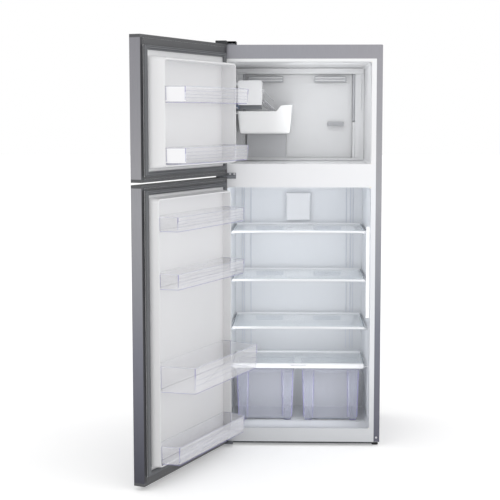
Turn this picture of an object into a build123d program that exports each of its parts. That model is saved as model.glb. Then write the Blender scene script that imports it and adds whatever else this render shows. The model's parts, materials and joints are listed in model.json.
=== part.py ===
from build123d import *
import os

# Top freezer refrigerator with both doors standing open.
# Millimetres. The origin is on the floor under the centre of the cabinet. +X is to the right of someone
# who faces the open cabinet, +Y runs towards the back and +Z is up.

# ---- driving dimensions ----
WIDTH = 700.0
DEPTH = 600.0  # cabinet without its doors
TOP = 1710.0
BASE = 16.0  # underside of the cabinet above the floor
SHEET = 1.0  # steel sheet
BASE_SHEET = 1.2
LINER = 2.0  # moulded plastic liner
FRAME_SIDE = 25.0  # steel border beside the openings
FRAME_TOP = 58.0
FLANGE_SIDE = 20.0  # liner flange inside the steel border

FREEZER_FLOOR = 1212.0
FREEZER_CEILING = 1640.0
FREEZER_DEPTH = 500.0
FRIDGE_FLOOR = 75.0
FRIDGE_CEILING = 1115.0
FRIDGE_DEPTH = 495.0
STEP_TOP = 322.0  # top of the step over the compressor bay
STEP_DEPTH = 404.0  # depth of the fridge below that step
WALL_DRAFT = 12.0  # how far each liner wall leans in towards the back

BAY_TOP = 285.0
BAY_DEPTH = 168.0

DOOR_WIDTH = 698.0
DOOR_THICK = 48.0
DOOR_GAP = 12.0  # between the cabinet face and the door's inner face
DOOR_LIP = 20.0  # folded steel edge on the inner face
CAP = 12.0  # height of a door's end cap
FREEZER_DOOR = (1167.0, 1711.0)
FRIDGE_DOOR = (17.0, 1158.0)
FREEZER_POST = 70.0  # how far a door's liner ridge stands proud
FRIDGE_POST = 43.0
RIDGE_EDGE = 45.0  # from a door's side edge to the foot of its ridge
GASKET = 18.0  # width of the seal
FREEZER_SEAL = (22.0, 37.0)  # from the door's lower and upper edges to the seal
FRIDGE_SEAL = (33.0, 21.0)
HINGE_X = -330.0
HINGE_OUT = 35.0  # hinge line in front of the cabinet face
DOOR_OPEN = 113.5  # degrees
PIN_R = 4.0
RUNNING = 0.05  # radial play of a pin in its hole

SHELF_TOPS = (918.0, 707.0, 498.0)
SHELF_HALF = 289.0
SHELF_FRONT = 98.0
SHELF_BACK = 478.0
GLASS = 4.0
CRISPER_COVER_TOP = 333.0
CRISPER_COVER_FRONT = 118.0
CRISPER_COVER_BACK = 400.0

FOOT_Y_DEPTH = 30.0
ROLLER_R = 14.0

FRONT = -DEPTH / 2
BACK = DEPTH / 2
HALF = WIDTH / 2
OPENING = HALF - FRAME_SIDE - FLANGE_SIDE
HINGE_Y = FRONT - HINGE_OUT


# ---- helpers ----
def box(x, y, z):
    """A box from three (low, high) pairs."""
    size = [high - low for low, high in (x, y, z)]
    return Pos(x[0], y[0], z[0]) * Box(*size, align=Align.MIN)


def deep(near, far):
    """The Y range between two depths behind the cabinet face."""
    return (FRONT + near, FRONT + far)


def cylinder(radius, start, end):
    """A round bar between two points on one row axis."""
    line = Vector(*end) - Vector(*start)
    plane = Plane(origin=start, z_dir=line.normalized())
    return extrude(plane * Circle(radius), line.length)


def rim(plane, x, z, radius):
    """A rounded rectangle on a plane that faces along Y."""
    centre = Pos((x[0] + x[1]) / 2, (z[0] + z[1]) / 2)
    return plane * (centre * RectangleRounded(x[1] - x[0], z[1] - z[0], radius))


def upright(y):
    """A plane across Y whose own axes are the row's X and Z."""
    return Plane(origin=(0, y, 0), x_dir=(1, 0, 0), z_dir=(0, -1, 0))


def tapered(x, z, y, inset, radius, grow=0.0):
    """A block along Y over a level floor, whose sides and top close in by an inset towards the back."""
    near = rim(upright(y[0]), (x[0] - grow, x[1] + grow), (z[0] - grow, z[1] + grow), radius + grow)
    far_x = (x[0] + inset - grow, x[1] - inset + grow)
    far_z = (z[0] - grow, z[1] - inset + grow)
    return loft([near, rim(upright(y[1]), far_x, far_z, radius + grow)])


def tray(x, y, z, wall, inset, radius):
    """An open tub that narrows downwards: (whole block, hollow) for a box-shaped outline."""
    low, high = z
    middle = ((x[0] + x[1]) / 2, (y[0] + y[1]) / 2)
    size = (x[1] - x[0], y[1] - y[0])

    def level(height, shrink, corner):
        outline = RectangleRounded(size[0] - 2 * shrink, size[1] - 2 * shrink, corner)
        return Plane.XY.offset(height) * (Pos(*middle) * outline)

    block = loft([level(low, inset, radius), level(high, 0, radius)])
    inner = radius - wall / 2
    hollow = loft([level(low + wall, inset + wall, inner), level(high + 1, wall, inner)])
    return block, hollow


def pipe(points, radius, bend):
    """A bent tube through the points."""
    path = FilletPolyline(*points, radius=bend)
    first = Vector(*points[1]) - Vector(*points[0])
    return sweep(Plane(origin=points[0], z_dir=first.normalized()) * Circle(radius), path)


def save(node, shape):
    """Write one named sub-part."""
    export_step(shape, f"parts/{node}.step")


def group(*solids):
    """Separate solids of one node."""
    return Compound([piece for solid in solids for piece in solid.solids()])


# ---- cabinet shell ----
def front_sheet(z, opening_z, x=HALF - FRAME_SIDE):
    """A flat flange on the cabinet face round an opening."""
    sheet = box((-x, x), deep(0, SHEET), z)
    return sheet - box((-OPENING, OPENING), deep(0, SHEET), opening_z)


def cabinet_wrapper():
    outside = extrude(rim(upright(FRONT), (-HALF, HALF), (BASE - 20, TOP), 4), -DEPTH)
    inside = extrude(
        rim(upright(FRONT + SHEET), (SHEET - HALF, HALF - SHEET), (BASE - 20, TOP - SHEET), 3), -DEPTH
    )
    opening = box((FRAME_SIDE - HALF, HALF - FRAME_SIDE), deep(0, SHEET), (BASE, TOP - FRAME_TOP))
    below = box((-HALF, HALF), (FRONT, BACK), (BASE - 20, BASE + BASE_SHEET))
    return outside - inside - opening - below


def freezer_room(grow=0.0):
    return tapered(
        (-OPENING, OPENING), (FREEZER_FLOOR, FREEZER_CEILING), deep(0, FREEZER_DEPTH + grow), WALL_DRAFT, 10, grow
    )


def fridge_room(grow=0.0):
    """The cavity behind the fridge door, shorter below the step over the compressor."""
    upper = tapered(
        (-OPENING, OPENING), (FRIDGE_FLOOR, FRIDGE_CEILING - 2), deep(0, FRIDGE_DEPTH + grow), WALL_DRAFT, 10, grow
    )
    step = box((-HALF, HALF), deep(STEP_DEPTH + grow, DEPTH), (BASE, STEP_TOP - grow))
    return upper - step


def wall_ledges(top, near, far, height=6.0, reach=18.0):
    """Moulded ledges on both side walls for a shelf to slide on."""
    ledges = [
        box(sorted((side * (SHELF_HALF - reach + 8), side * OPENING)), deep(near, far), (top - height, top))
        for side in (-1, 1)
    ]
    return ledges[0] + ledges[1]


def freezer_liner():
    flange = front_sheet((FREEZER_FLOOR, TOP - FRAME_TOP), (FREEZER_FLOOR, FREEZER_CEILING))
    bin_rail = box((-OPENING, -264.6), deep(150, 420), (1422, 1427.7))
    shell = freezer_room(LINER) - (freezer_room() - bin_rail)
    behind = box((-HALF, HALF), deep(SHEET, DEPTH), (BASE, TOP))
    return flange + (shell & behind)


def fridge_liner():
    flange = front_sheet((BASE + BASE_SHEET, FRIDGE_CEILING), (FRIDGE_FLOOR, FRIDGE_CEILING))
    room = fridge_room()
    for top in SHELF_TOPS:
        room -= wall_ledges(top - 8.3, 125, 470)
    room -= wall_ledges(CRISPER_COVER_TOP - 12, 135, 385)
    behind = box((-HALF, HALF), deep(SHEET, DEPTH), (BASE, TOP))
    return flange + ((fridge_room(LINER) - room) & behind)


def mullion_cover():
    return box((FRAME_SIDE - HALF, HALF - FRAME_SIDE), deep(0, SHEET), (FRIDGE_CEILING, FREEZER_FLOOR))


def bay():
    """The open compressor bay at the lower back, with the sheet that lines it."""
    return box((SHEET - HALF, HALF - SHEET), (BACK - BAY_DEPTH, BACK), (BASE + BASE_SHEET, BAY_TOP))


def back_panel():
    wide = (SHEET - HALF, HALF - SHEET)
    near = BACK - BAY_DEPTH
    sheet = box(wide, (BACK - SHEET, BACK), (BAY_TOP - SHEET, TOP - SHEET))
    shelf = box(wide, (near, BACK), (BAY_TOP - SHEET, BAY_TOP))
    wall = box(wide, (near, near + SHEET), (BASE + BASE_SHEET, BAY_TOP))
    corner = extrude(rim(upright(FRONT), (SHEET - HALF, HALF - SHEET), (0, TOP - SHEET), 3), -DEPTH)
    return ((sheet + shelf + wall) & corner) - cylinder(9, (-250, BACK - 5, 330), (-250, BACK + 5, 330))


def feet_spots():
    """Where the levelling feet stand: under the bottom hinge and at the far corner."""
    return {"left": (-308.0, FRONT + FOOT_Y_DEPTH), "right": (332.0, FRONT + FOOT_Y_DEPTH)}


def roller_spots():
    return {"left": (-312.0, BACK - 30), "right": (312.0, BACK - 30)}


def base_plate():
    plate = box((-HALF, HALF), (FRONT, BACK), (BASE, BASE + BASE_SHEET))
    for x, y in feet_spots().values():
        plate -= cylinder(PIN_R + RUNNING, (x, y, 0), (x, y, 60))
    for x, y in roller_spots().values():
        plate -= box((x - 9, x + 9), (y - ROLLER_R - 3, y + ROLLER_R + 3), (0, 60))
        for side in (-1, 1):
            low, high = sorted((side * 9.5, side * 12.0))
            ear = box((x + low, x + high), (y - 10, y + 10), (BASE + BASE_SHEET - 0.2, 30))
            ear += box((x + low, x + high), (y - 5, y + 5), (9, BASE + BASE_SHEET))
            plate += ear
        plate -= cylinder(2.5 + RUNNING, (x - 18, y, ROLLER_R), (x + 18, y, ROLLER_R))
    return plate


def cabinet_foam(screws):
    inside = extrude(
        rim(upright(FRONT + SHEET), (SHEET - HALF, HALF - SHEET), (BASE - 20, TOP - SHEET), 3), 2 * SHEET - DEPTH
    )
    foam = inside - box((-HALF, HALF), (FRONT, BACK), (BASE - 20, BASE + BASE_SHEET))
    foam = foam - freezer_room(LINER) - fridge_room(LINER) - bay()
    for x, y in feet_spots().values():
        foam -= cylinder(7, (x, y, 0), (x, y, 58))
    return foam - screws


# ---- hinges ----
def top_hinge_bracket():
    seat = box((-345, -268), (FRONT + 6, FRONT + 72), (TOP, TOP + 5))
    tongue = box((-345, -308), (HINGE_Y - 9, FRONT + 8), (TOP + 2, TOP + 5))
    pin = cylinder(PIN_R, (HINGE_X, HINGE_Y, TOP - 18), (HINGE_X, HINGE_Y, TOP + 2))
    return seat + tongue + pin


def top_hinge_cover():
    back_part = box((-347, -263), (FRONT + 1, FRONT + 80), (TOP, TOP + 15))
    front_part = box((-347, -300), (HINGE_Y - 14, FRONT + 1), (TOP + 1.6, TOP + 15))
    cover = back_part + front_part
    cover = fillet(cover.edges().filter_by(Axis.Z), 3)
    cover = fillet(cover.faces().sort_by(Axis.Z)[-1].edges(), 2)
    inside = box((-345.2, -265), (FRONT + 0.8, FRONT + 78), (TOP, TOP + 13))
    inside += box((-345.2, -302), (HINGE_Y - 12, FRONT + 3), (TOP, TOP + 13))
    return cover - inside


def middle_hinge():
    tongue = box((-345, -268), (HINGE_Y - 8, FRONT - 2.5), (1161, 1164))
    plate = box((-345, -265), (FRONT - 2.5, FRONT), (1150, 1175))
    pin = cylinder(PIN_R, (HINGE_X, HINGE_Y, 1142), (HINGE_X, HINGE_Y, 1183))
    return tongue + plate + pin


def bottom_hinge():
    plate = box((-345, -280), (HINGE_Y - 8, FRONT + 70), (BASE - 3, BASE))
    pin = cylinder(PIN_R, (HINGE_X, HINGE_Y, BASE - 3), (HINGE_X, HINGE_Y, 34))
    x, y = feet_spots()["left"]
    return plate + pin - cylinder(PIN_R + RUNNING, (x, y, 0), (x, y, 60))


def screw(point, into, head_r=4.5, head=2.2, shank_r=2.0, length=12.0):
    """A pan head screw whose head seats at the point and whose shank runs into the cabinet."""
    seat, along = Vector(*point), Vector(*into)
    top = seat - along * head
    shaft = cylinder(shank_r, tuple(seat - along * 0.2), tuple(seat + along * length))
    plane = Plane(origin=top, z_dir=along)
    cap = extrude(plane * Circle(head_r), head)
    cap = fillet(cap.faces().sort_by(Axis(top, along))[0].edges(), 0.9)
    slot = extrude(plane * Rectangle(0.8, 4.4), 1.0) + extrude(plane * Rectangle(4.4, 0.8), 1.0)
    return cap + shaft - slot


def hinge_screws():
    """Hinge screws on the top, the mullion and the base, and two in the front border."""
    down, inward, up = (0, 0, -1), (0, 1, 0), (0, 0, 1)
    places = [((x, FRONT + 24 + 30 * n, TOP + 5), down) for x in (-335, -280) for n in (0, 1)]
    places += [((x, FRONT - 2.5, 1169.5), inward) for x in (-290, -272)]
    places += [((x, FRONT + 58, BASE - 3), up) for x in (-336, -290)]
    places += [((side * 336, FRONT, 36), inward) for side in (-1, 1)]
    return [screw(*place) for place in places]


# ---- inside the freezer ----
PANEL_HALF = 241.0
PANEL_FRONT = 430.0


def freezer_rear_panel():
    """Moulded cover over the evaporator with louvred outlets and a low step at the left."""
    wall = 2.5
    back = FREEZER_DEPTH - 0.2
    panel = box((-PANEL_HALF, PANEL_HALF), deep(PANEL_FRONT, back), (1226, 1602))
    panel = fillet(panel.edges().filter_by(Axis.Y), 8)
    inside_x = (wall - PANEL_HALF, PANEL_HALF - wall)
    panel -= box(inside_x, deep(PANEL_FRONT + wall, back), (1226 + wall, 1602 - wall))
    foot = box((-236, -55), deep(PANEL_FRONT - 25, PANEL_FRONT + wall), (1226, 1330))
    foot -= box((-236 + wall, -55 - wall), deep(PANEL_FRONT - 25 + wall, back), (1226 + wall, 1330 - wall))
    panel += foot
    for left, right, low, rows, pitch in ((-230, -72, 1566, 3, 9), (70, 212, 1566, 3, 9), (130, 203, 1369, 2, 9)):
        for row in range(rows):
            centre = low + row * pitch + 3
            panel -= box((left, right), deep(PANEL_FRONT - 1, PANEL_FRONT + wall + 1), (centre - 2, centre + 2))
    ribs = [
        box((x - 1.5, x + 1.5), deep(PANEL_FRONT, PANEL_FRONT + wall), (1562, 1596))
        for x in (-178, -125, 117, 165)
    ]
    for rib in ribs:
        panel += rib
    return panel - box((100, 230), deep(back - 6, back + 1), (1300, 1330))


def evaporator_coil():
    fins = []
    for n in range(21):
        x = -150 + 15 * n
        fins.append(box((x - 0.6, x + 0.6), deep(446, 492), (1280, 1440)))
    rows = [1300, 1340, 1380, 1420]
    tubes = [
        cylinder(4, (-165, FRONT + depth, row), (165, FRONT + depth, row)) for row in rows for depth in (457, 481)
    ]
    coil = fins[0]
    for piece in fins[1:] + tubes:
        coil += piece
    return coil


def defrost_heater():
    run = FRONT + 469
    points = [(-170, run, 1262), (170, run, 1262), (170, run, 1246), (-170, run, 1246)]
    return pipe(points, 4, 7)


FAN_SPOT = (0.0, FRONT + 452, 1525.0)


def fan_motor():
    x, y, z = FAN_SPOT
    motor = cylinder(24, (x, y + 13, z), (x, y + 42, z))
    motor += cylinder(3, (x, y - 6, z), (x, y + 14, z))
    return motor + box((x - 62, x + 62), (y + 42, y + 46), (z - 8, z + 8))


def evaporator_fan():
    x, y, z = FAN_SPOT
    fan = cylinder(12, (x, y - 8, z), (x, y + 10, z))
    for n in range(5):
        blade = Pos(x, y + 1, z) * Rot(0, 72 * n, 0) * Pos(0, 0, 27) * Rot(0, 0, 28) * Box(22, 2, 36)
        fan += blade
    return fan - cylinder(3 + RUNNING, (x, y - 7, z), (x, y + 14, z))


ICE_X = (-263.0, -161.0)
ARM_PIVOT = (ICE_X[1] + 6.0, FRONT + 186, 1524.0)
ARM_PIN_R = 2.0


def ice_maker_housing():
    """Shell over the ice mould, fixed to the left wall by two arms."""
    body = box(ICE_X, deep(168, 330), (1461, 1567))
    body = fillet(body.edges().filter_by(Axis.Y).group_by(Axis.Z)[-1], 8)
    body -= box((ICE_X[0] + 3, ICE_X[1] - 3), deep(200, 327), (1461, 1540))
    for near in (190, 290):
        arm = box((-OPENING, ICE_X[0] + 1), deep(near, near + 25), (1545, 1560))
        body += arm & freezer_room()
    x, y, z = ARM_PIVOT
    lug = box((ICE_X[1] - 1, x + 5), (y + 4.5, y + 10), (z - 6, z + 6))
    return body + lug - cylinder(ARM_PIN_R + RUNNING, (x, y, z), (x, y + 20, z))


def ice_maker_tray():
    mould = box((ICE_X[0] + 5, ICE_X[1] - 5), deep(204, 322), (1444, 1520))
    for n in range(5):
        pocket = box((ICE_X[0] + 12, ICE_X[1] - 12), deep(209 + 22.5 * n, 226 + 22.5 * n), (1475, 1521))
        mould -= pocket
    return mould


def ice_maker_arm():
    """Wire arm that feels the level of the ice beside the mould."""
    x, y, z = ARM_PIVOT
    hub = cylinder(5, (x, y - 4, z), (x, y + 4, z)) + cylinder(ARM_PIN_R, (x, y, z), (x, y + 12, z))
    points = [(x + 2, y, z - 2), (x + 44, y, z - 44), (x + 44, y + 95, z - 44), (x + 22, y + 95, z - 22)]
    return hub + pipe(points, 1.6, 8)


def ice_bin():
    """White ice tub with rounded lower corners and a rim that rises at the right."""
    x, y, low, high = (-263.0, -29.0), deep(152, 412), 1337.0, 1461.0
    block, hollow = tray(x, y, (low, high), 3.0, 22.0, 18)
    tub = block - hollow
    side = Plane(origin=(0, FRONT, 0), x_dir=(1, 0, 0), z_dir=(0, -1, 0))
    above = [(-300, 1434), (-118, 1434), (-92, high + 5), (-300, high + 5)]
    cut = extrude(side * Polygon(*above, align=None), -DEPTH)
    rail = box((-266.5, -261), deep(160, 404), (1428, 1434))
    return (tub - cut) + rail


# ---- inside the fridge ----
def duct_cover():
    """Box over the cold air outlet, with a row of slots on each side."""
    cover = box((-57, 53), deep(FRIDGE_DEPTH - 26, FRIDGE_DEPTH - 0.2), (935, 1062))
    cover = fillet(cover.edges().filter_by(Axis.Y), 6)
    cover = fillet(cover.faces().sort_by(Axis.Y)[0].edges(), 3)
    for side in (-57, 53):
        for row in range(5):
            z = 955 + 20 * row
            cover -= box((side - 4, side + 4), deep(FRIDGE_DEPTH - 18, FRIDGE_DEPTH - 6), (z, z + 8))
    return cover


def led_strip():
    """Light cover on the right wall of the fridge."""
    strip = box((292, 303.2), deep(70, 95), (545, 939))
    strip = fillet(strip.edges().filter_by(Axis.Z).group_by(Axis.X)[0], 4)
    return strip & fridge_room()


def shelf(top, front=SHELF_FRONT, back=SHELF_BACK, lip=17.0, drop=8.0):
    """The glass and the plastic trim of one shelf: (trim, glass)."""
    wide = (-SHELF_HALF, SHELF_HALF)
    glass = box((-SHELF_HALF + 4, SHELF_HALF - 4), deep(front + 8, back - 6), (top - GLASS - 1, top - 1))
    trim = box(wide, deep(front, back), (top - drop, top))
    bar = box(wide, deep(front, front + 16), (top - lip, top + 2))
    bar = fillet(bar.edges().filter_by(Axis.X).group_by(Axis.Y)[0], 5)
    trim = trim + bar + box(wide, deep(back - 12, back), (top - drop, top + 6))
    window = (8 - SHELF_HALF, SHELF_HALF - 8)
    trim -= box(window, deep(front + 14, back - 12), (top - 30, top + 30))
    for side in (-1, 1):
        slot = sorted((side * 70, side * 195))
        trim -= box(slot, deep(back - 5, back + 1), (top - 2, top + 3))
    return trim - glass, glass


def crisper_cover():
    frame, glass = shelf(CRISPER_COVER_TOP - 2, CRISPER_COVER_FRONT, CRISPER_COVER_BACK, lip=20.0, drop=10.0)
    return frame, glass


def crisper(x):
    """A drawer with a full-width grip and two rounded pillars on its front."""
    low, high = 76.0, 307.0
    y = deep(128, 392)
    block, hollow = tray(x, y, (low, high), 3.0, 9.0, 14)
    body = block
    for centre in (x[0] + 30, x[1] - 30):
        pillar = cylinder(17, (centre, y[0] + 12, low + 20), (centre, y[0] + 12, high - 22))
        body += fillet(pillar.edges().group_by(Axis.Z)[0], 10)
    body = body - hollow
    lip = box((x[0] + 4, x[1] - 4), (y[0] - 6, y[0] + 3), (high - 14, high))
    body += fillet(lip.edges().filter_by(Axis.X), 2.5)
    return body & box((x[0], x[1]), (y[0] - 8, y[1]), (low, high))


# ---- doors, built closed and then swung open ----
def into_door(near, far):
    """The Y range between two distances inward from a closed door's inner face."""
    return (FRONT - DOOR_GAP + near, FRONT - DOOR_GAP + far)


def ridge_span(post):
    """The heights between which a door's ridge stands, just inside its opening."""
    if post == FREEZER_POST:
        return (FREEZER_FLOOR + 3, FREEZER_CEILING - 4)
    return (FRIDGE_FLOOR + 3, FRIDGE_CEILING - 6)


def door_form(post, shrink=0.0, below=0.0):
    """The raised ridge round a door's inner face and the shallow dish inside it."""
    low, high = ridge_span(post)
    lean = 0.2 * (post - 20)
    half = DOOR_WIDTH / 2 - RIDGE_EDGE
    crest = 5.0
    dish = 7.0 - shrink

    def level(at, inset, radius):
        wide = half - inset
        return rim(upright(FRONT - DOOR_GAP + at), (-wide, wide), (low + inset, high - inset), radius)

    ridge = loft([level(0, shrink, 14), level(post - shrink, lean + shrink, 14)])
    hollow = loft([level(dish, lean + crest + 1.5 - shrink, 10), level(post + 1, lean + crest - shrink, 10)])
    form = ridge - hollow
    if below:
        form += extrude(level(0, shrink, 14), below)
    return form


def door_skin(z):
    """Folded steel face, sides and back edges of a door, open at the top and bottom."""
    half = DOOR_WIDTH / 2
    tall = (z[0] + CAP, z[1] - CAP)
    skin = box((-half, half), into_door(-DOOR_THICK, 0), tall)
    skin = fillet(skin.edges().filter_by(Axis.Z).group_by(Axis.Y)[0], 5)
    core = box((SHEET - half, half - SHEET), into_door(SHEET - DOOR_THICK, -LINER), tall)
    core = fillet(core.edges().filter_by(Axis.Z).group_by(Axis.Y)[0], 4)
    window = box((DOOR_LIP - half, half - DOOR_LIP), into_door(-LINER, 0), tall)
    return skin - core - window


def door_foam(z, post):
    half = DOOR_WIDTH / 2
    core = box((SHEET - half, half - SHEET), into_door(SHEET - DOOR_THICK, -LINER), (z[0] + CAP, z[1] - CAP))
    core = fillet(core.edges().filter_by(Axis.Z).group_by(Axis.Y)[0], 4)
    return core + door_form(post, LINER, LINER)


def door_liner(z, post):
    half = DOOR_WIDTH / 2 - DOOR_LIP
    flange = box((-half, half), into_door(-LINER, 0), (z[0] + CAP, z[1] - CAP))
    return flange + door_form(post) - door_form(post, LINER, LINER)


def door_gasket(z, seal):
    """Soft magnetic seal on the door's inner face."""
    half = DOOR_WIDTH / 2 - DOOR_LIP - 1.0
    low, high = z[0] + seal[0], z[1] - seal[1]
    thick = DOOR_GAP - 0.4

    def ring(inset, near, far, radius):
        section = rim(
            upright(FRONT - DOOR_GAP + near), (inset - half, half - inset), (low + inset, high - inset), radius
        )
        return extrude(section, near - far)

    band = ring(0, 0, thick, 8) - ring(GASKET, 0, thick, 5)
    groove = ring(-1, 4, 7, 8) - ring(3, 4, 7, 6)
    return band - groove


def door_caps(z, bores):
    """Moulded end caps that close the skin and hold the hinge bushings."""
    half = DOOR_WIDTH / 2
    caps = []
    for low, high in ((z[0], z[0] + CAP), (z[1] - CAP, z[1])):
        cap = box((-half, half), into_door(-DOOR_THICK, 0), (low, high))
        caps.append(fillet(cap.edges().filter_by(Axis.Z).group_by(Axis.Y)[0], 5) - bores)
    return group(*caps)


def hinge_bores(z):
    """Blind holes for the hinge pins at both ends of a door."""
    low = cylinder(PIN_R + RUNNING, (HINGE_X, HINGE_Y, z[0] - 1), (HINGE_X, HINGE_Y, z[0] + 20))
    high = cylinder(PIN_R + RUNNING, (HINGE_X, HINGE_Y, z[1] - 20), (HINGE_X, HINGE_Y, z[1] + 1))
    return low + high


def door_bin(z, post, front_inset, back_inset, reach):
    """A clear bin that narrows towards its front and hooks between the door's ridges."""
    half = DOOR_WIDTH / 2
    low, high = z

    def outline(wall):
        back = into_door(9.5 + wall, 0)[0]
        knee = into_door(post, 0)[0]
        front = into_door(reach - wall, 0)[0]
        wide, narrow = half - back_inset - wall, half - front_inset - wall
        points = [(-wide, back), (wide, back), (wide, knee), (narrow, front), (-narrow, front), (-wide, knee)]
        return Polygon(*points, align=None)

    def level(wall, height, shrink):
        return Plane.XY.offset(height) * outline(wall + shrink)

    tub = loft([level(0, low, 2.5), level(0, high, 0)])
    tub = fillet(tub.edges().filter_by(lambda e: abs(e.tangent_at(0.5).Z) > 0.9).group_by(Axis.Y)[-1], 12)
    hollow = loft([level(2.5, low + 2.5, 2.5), level(2.5, high + 1, 0)])
    hollow = fillet(hollow.edges().filter_by(lambda e: abs(e.tangent_at(0.5).Z) > 0.9).group_by(Axis.Y)[-1], 10)
    return tub - hollow


def swung(shape):
    """The closed shape turned open about the hinge line."""
    return Pos(HINGE_X, HINGE_Y, 0) * Rot(0, 0, -DOOR_OPEN) * Pos(-HINGE_X, -HINGE_Y, 0) * shape


def save_door(name, z, post, seal):
    bores = hinge_bores(z)
    save(f"{name}_skin", swung(door_skin(z)))
    save(f"{name}_foam", swung(door_foam(z, post) - bores))
    save(f"{name}_liner", swung(door_liner(z, post)))
    save(f"{name}_gasket", swung(door_gasket(z, seal)))
    save(f"{name}_caps", swung(door_caps(z, bores)))


# ---- compressor bay and back ----
COMPRESSOR = (110.0, BACK - 84.0)


def compressor():
    x, y = COMPRESSOR
    shell = cylinder(66, (x, y, 44), (x, y, 196))
    shell = fillet(shell.edges().group_by(Axis.Z)[-1], 40)
    shell = fillet(shell.edges().group_by(Axis.Z)[0], 25)
    seam = cylinder(68.5, (x, y, 118), (x, y, 124))
    foot = box((x - 105, x + 105), (y - 50, y + 50), (30, 33)) + cylinder(45, (x, y, 32), (x, y, 52))
    for sx in (-1, 1):
        for sy in (-1, 1):
            foot -= cylinder(6, (x + 90 * sx, y + 38 * sy, 20), (x + 90 * sx, y + 38 * sy, 40))
    return shell + seam + foot


def compressor_grommets():
    x, y = COMPRESSOR
    grommets = []
    for sx in (-1, 1):
        for sy in (-1, 1):
            spot = (x + 90 * sx, y + 38 * sy)
            body = cylinder(10, (*spot, BASE + BASE_SHEET), (*spot, 30))
            grommets.append(body + cylinder(5.9, (*spot, 29), (*spot, 38)))
    return group(*grommets)


def relay_box():
    x, y = COMPRESSOR
    case = box((x - 108, x - 69), (y - 24, y + 24), (90, 150))
    return fillet(case.edges().filter_by(Axis.X), 5)


def drip_tray():
    x, y = COMPRESSOR
    block, hollow = tray((x - 95, x + 95), (y - 62, y + 62), (196, 226), 2.0, 8.0, 14)
    return block - hollow


def condenser_coil():
    """Sheet condenser behind the cabinet with a serpentine tube bonded to its back."""
    near, low, pitch, rows = BACK + 8, 420.0, 80.0, 13
    sheet = box((-270, 270), (near, near + 0.8), (low - 30, low + pitch * (rows - 1) + 30))
    run = near + 3.0
    points = []
    for row in range(rows):
        ends = (-245, 245) if row % 2 == 0 else (245, -245)
        points += [(x, run, low + pitch * row) for x in ends]
    tube = pipe(points, 2.6, 24)
    coil = sheet + tube
    for x in (-240, 240):
        for z in (low - 15, low + pitch * (rows - 1) + 15):
            coil += box((x - 12, x + 12), (BACK, near + 0.4), (z - 6, z + 6))
    return coil


def refrigerant_tubes():
    """Copper lines from the compressor to the condenser, with the filter drier."""
    x, y = COMPRESSOR
    line_y = BACK - 10
    discharge = pipe([(x - 40, y + 58, 92), (x - 40, line_y, 92), (-200, line_y, 92), (-200, line_y, 265)], 2.5, 6)
    drier = cylinder(9, (-200, line_y, 130), (-200, line_y, 220))
    suction = pipe([(x + 55, y + 40, 100), (x + 55, line_y, 100), (260, line_y, 100), (260, line_y, 265)], 3.5, 8)
    shell = compressor()
    return group(discharge + drier - shell, suction - shell)


def cord_gland():
    """Strain relief in the back panel where the mains lead would enter."""
    x, z = -250, 330
    ring = cylinder(14, (x, BACK, z), (x, BACK + 6, z)) + cylinder(9, (x, BACK - 1, z), (x, BACK + 0.5, z))
    return ring - cylinder(4, (x, BACK - 5, z), (x, BACK + 10, z))


# ---- feet and rollers ----
def front_foot(x, y):
    pad = cylinder(14, (x, y, 0), (x, y, 6))
    pad = fillet(pad.edges().group_by(Axis.Z)[-1], 1.5)
    nut = extrude(Plane.XY.offset(5.5) * (Pos(x, y) * RegularPolygon(9, 6)), 5.5)
    return pad + nut + cylinder(PIN_R, (x, y, 10), (x, y, 52))


def rear_roller(x, y):
    wheel = cylinder(ROLLER_R, (x - 8, y, ROLLER_R), (x + 8, y, ROLLER_R))
    wheel = fillet(wheel.edges(), 1)
    return wheel + cylinder(2.5, (x - 13, y, ROLLER_R), (x + 13, y, ROLLER_R))


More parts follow.
